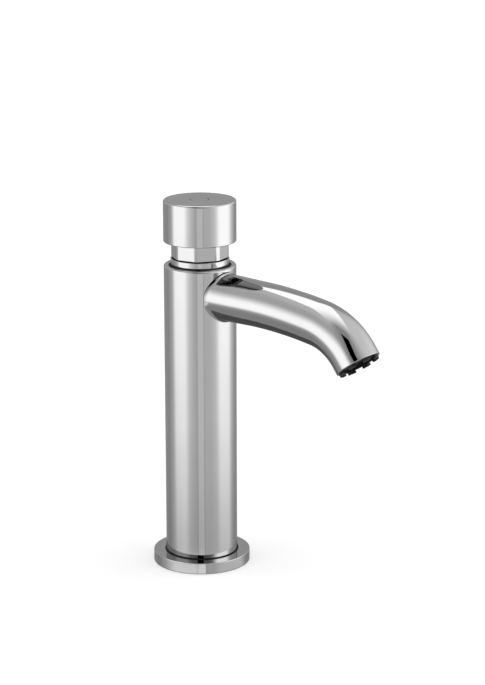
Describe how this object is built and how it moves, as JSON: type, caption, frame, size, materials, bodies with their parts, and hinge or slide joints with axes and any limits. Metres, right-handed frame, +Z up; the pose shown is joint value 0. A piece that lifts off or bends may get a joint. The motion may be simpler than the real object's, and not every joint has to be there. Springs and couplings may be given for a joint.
{
  "type": "push timed tap",
  "caption": "Chromed pillar tap with a push button, a self-closing timed cartridge and a bent side spout, for mounting through a basin or deck.",
  "frame": {"origin": "centre of the base flange's underside, where the tap stands on the deck", "axes": "+Z up along the body, -Y the way the spout points, +X to the right when looking along +Y at the spout"},
  "size_m": [0.0514, 0.1421, 0.2489],
  "materials": {
    "chrome": "polished chrome plate on brass",
    "black_rubber": "matt black rubber",
    "black_plastic": "satin black plastic",
    "white_plastic": "natural acetal",
    "brass": "machined brass",
    "steel": "stainless steel"
  },
  "bodies": {
    "tap": {"base_flange": "chrome", "deck_gasket": "black_rubber", "base_seal": "black_rubber", "body": "chrome", "inlet_shank": "brass", "inlet_strainer": "steel", "fixing_gasket": "black_rubber", "fixing_washer": "steel", "backnut": "brass", "spout": "chrome", "spigot_ring": "black_rubber", "aerator_housing": "black_plastic", "aerator_insert": "black_plastic", "aerator_screen": "steel", "aerator_gasket": "black_rubber", "cartridge_head": "chrome", "head_seal": "black_rubber", "stem_ring": "black_rubber", "stem_guide": "white_plastic", "cartridge_barrel": "white_plastic", "rod_ring": "black_rubber", "timing_pin": "steel", "valve_cage": "white_plastic", "cage_ring": "black_rubber", "return_spring": "steel"},
    "plunger": {"push_button": "chrome", "button_plug": "chrome", "button_screw": "steel", "stem": "brass", "piston": "white_plastic", "lip_seal": "black_rubber", "piston_clip": "steel", "valve_washer": "black_rubber", "valve_cup": "brass", "rod_nut": "steel"}
  },
  "joints": [
    {"name": "button_press", "type": "slide", "parent": "tap", "child": "plunger", "axis": [0, 0, -1], "range_m": [0, 0.009], "stiffness_N_per_m": 1500, "springref_m": -0.01, "deforming": ["return_spring"]}
  ]
}
